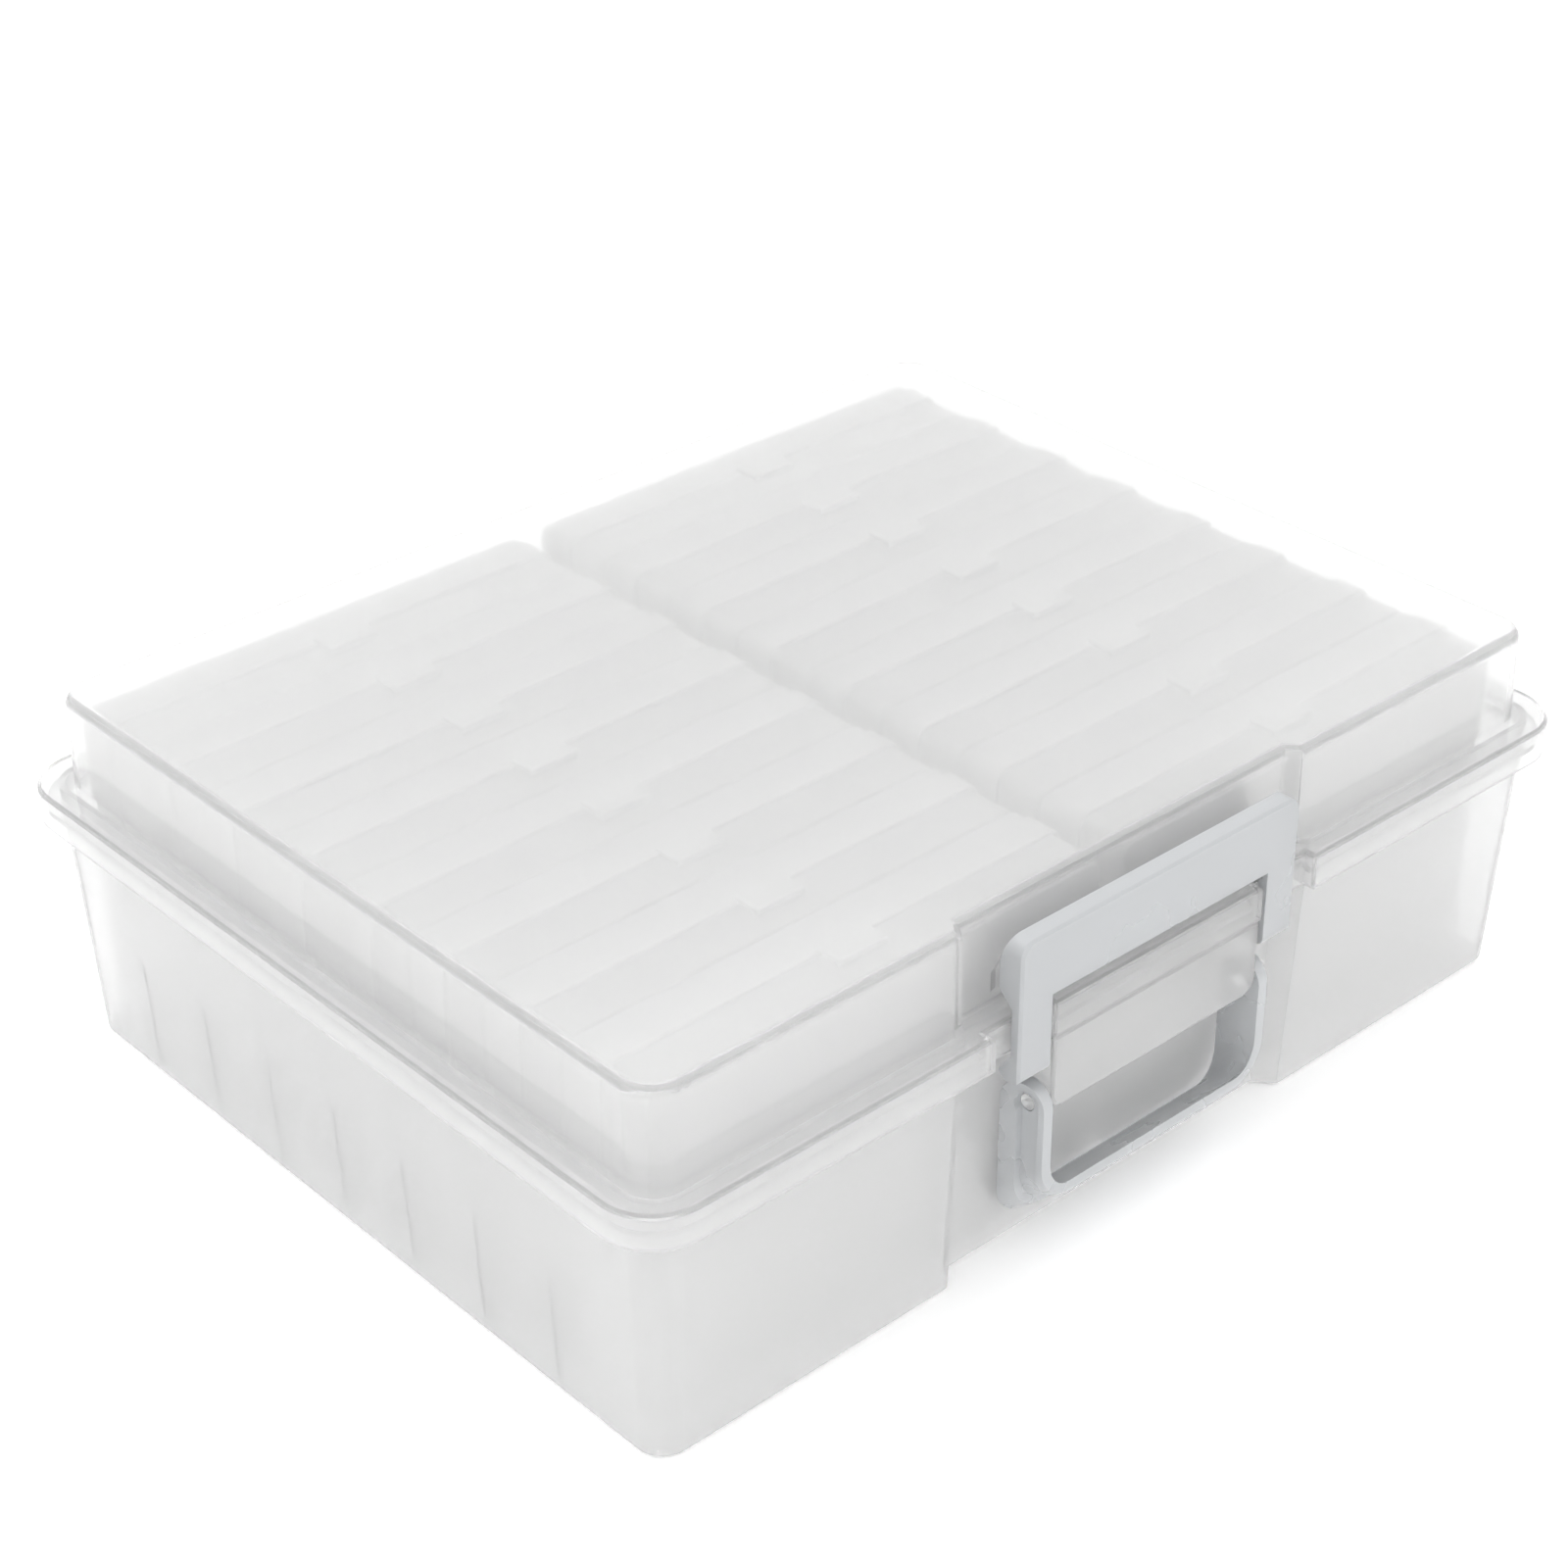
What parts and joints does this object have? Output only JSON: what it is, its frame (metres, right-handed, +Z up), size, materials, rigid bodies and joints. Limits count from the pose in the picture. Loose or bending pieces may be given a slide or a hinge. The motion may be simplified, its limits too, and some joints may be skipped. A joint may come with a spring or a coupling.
{
  "type": "photo keeper case",
  "caption": "Clear hinged-lid carrying case with a front latch and drop handle, packed with rows of small snap-shut picture cases.",
  "frame": {"origin": "on the ground, under the middle of the rim", "axes": "+X along the front from left to right, +Y from the front with the latch to the hinge, +Z up"},
  "size_m": [0.375, 0.3063, 0.1213],
  "materials": {
    "tub_plastic": "frosted clear injection-moulded polypropylene",
    "lid_plastic": "frosted clear injection-moulded polypropylene",
    "latch_plastic": "frosted clear injection-moulded polypropylene, satin",
    "handle_plastic": "frosted clear injection-moulded polypropylene, satin",
    "tray_plastic": "clear injection-moulded polypropylene, lightly frosted",
    "cover_plastic": "clear injection-moulded polypropylene, lightly frosted"
  },
  "bodies": {
    "tub": {"tub": "tub_plastic"},
    "lid": {"outer_lid": "lid_plastic"},
    "latch": {"latch": "latch_plastic"},
    "handle": {"handle": "handle_plastic"},
    "case_A1": {"tray_A1": "tray_plastic", "cover_A1": "cover_plastic"},
    "case_A2": {"tray_A2": "tray_plastic", "cover_A2": "cover_plastic"},
    "case_A3": {"tray_A3": "tray_plastic", "cover_A3": "cover_plastic"},
    "case_A4": {"tray_A4": "tray_plastic", "cover_A4": "cover_plastic"},
    "case_A5": {"tray_A5": "tray_plastic", "cover_A5": "cover_plastic"},
    "case_A6": {"tray_A6": "tray_plastic", "cover_A6": "cover_plastic"},
    "case_A7": {"tray_A7": "tray_plastic", "cover_A7": "cover_plastic"},
    "case_A8": {"tray_A8": "tray_plastic", "cover_A8": "cover_plastic"},
    "case_B1": {"tray_B1": "tray_plastic", "cover_B1": "cover_plastic"},
    "case_B2": {"tray_B2": "tray_plastic", "cover_B2": "cover_plastic"},
    "case_B3": {"tray_B3": "tray_plastic", "cover_B3": "cover_plastic"},
    "case_B4": {"tray_B4": "tray_plastic", "cover_B4": "cover_plastic"},
    "case_B5": {"tray_B5": "tray_plastic", "cover_B5": "cover_plastic"},
    "case_B6": {"tray_B6": "tray_plastic", "cover_B6": "cover_plastic"},
    "case_B7": {"tray_B7": "tray_plastic", "cover_B7": "cover_plastic"},
    "case_B8": {"tray_B8": "tray_plastic", "cover_B8": "cover_plastic"}
  },
  "joints": [
    {"name": "lid_hinge", "type": "hinge", "parent": "tub", "child": "lid", "pos_m": [0, 0.153, 0.078], "axis": [-1, 0, 0], "range_deg": [0, 105]},
    {"name": "latch_hinge", "type": "hinge", "parent": "lid", "child": "latch", "pos_m": [0, -0.142, 0.11], "axis": [-1, 0, 0], "range_deg": [0, 75]},
    {"name": "handle_hinge", "type": "hinge", "parent": "tub", "child": "handle", "pos_m": [0, -0.14117, 0.056], "axis": [-1, 0, 0], "range_deg": [0, 90]},
    {"name": "case_A1_lift", "type": "slide", "parent": "tub", "child": "case_A1", "axis": [0, 0, 1], "range_m": [0, 0.0035]},
    {"name": "case_A2_lift", "type": "slide", "parent": "tub", "child": "case_A2", "axis": [0, 0, 1], "range_m": [0, 0.0035]},
    {"name": "case_A3_lift", "type": "slide", "parent": "tub", "child": "case_A3", "axis": [0, 0, 1], "range_m": [0, 0.0035]},
    {"name": "case_A4_lift", "type": "slide", "parent": "tub", "child": "case_A4", "axis": [0, 0, 1], "range_m": [0, 0.0035]},
    {"name": "case_A5_lift", "type": "slide", "parent": "tub", "child": "case_A5", "axis": [0, 0, 1], "range_m": [0, 0.0035]},
    {"name": "case_A6_lift", "type": "slide", "parent": "tub", "child": "case_A6", "axis": [0, 0, 1], "range_m": [0, 0.0035]},
    {"name": "case_A7_lift", "type": "slide", "parent": "tub", "child": "case_A7", "axis": [0, 0, 1], "range_m": [0, 0.0035]},
    {"name": "case_A8_lift", "type": "slide", "parent": "tub", "child": "case_A8", "axis": [0, 0, 1], "range_m": [0, 0.0035]},
    {"name": "case_B1_lift", "type": "slide", "parent": "tub", "child": "case_B1", "axis": [0, 0, 1], "range_m": [0, 0.0035]},
    {"name": "case_B2_lift", "type": "slide", "parent": "tub", "child": "case_B2", "axis": [0, 0, 1], "range_m": [0, 0.0035]},
    {"name": "case_B3_lift", "type": "slide", "parent": "tub", "child": "case_B3", "axis": [0, 0, 1], "range_m": [0, 0.0035]},
    {"name": "case_B4_lift", "type": "slide", "parent": "tub", "child": "case_B4", "axis": [0, 0, 1], "range_m": [0, 0.0035]},
    {"name": "case_B5_lift", "type": "slide", "parent": "tub", "child": "case_B5", "axis": [0, 0, 1], "range_m": [0, 0.0035]},
    {"name": "case_B6_lift", "type": "slide", "parent": "tub", "child": "case_B6", "axis": [0, 0, 1], "range_m": [0, 0.0035]},
    {"name": "case_B7_lift", "type": "slide", "parent": "tub", "child": "case_B7", "axis": [0, 0, 1], "range_m": [0, 0.0035]},
    {"name": "case_B8_lift", "type": "slide", "parent": "tub", "child": "case_B8", "axis": [0, 0, 1], "range_m": [0, 0.0035]}
  ]
}
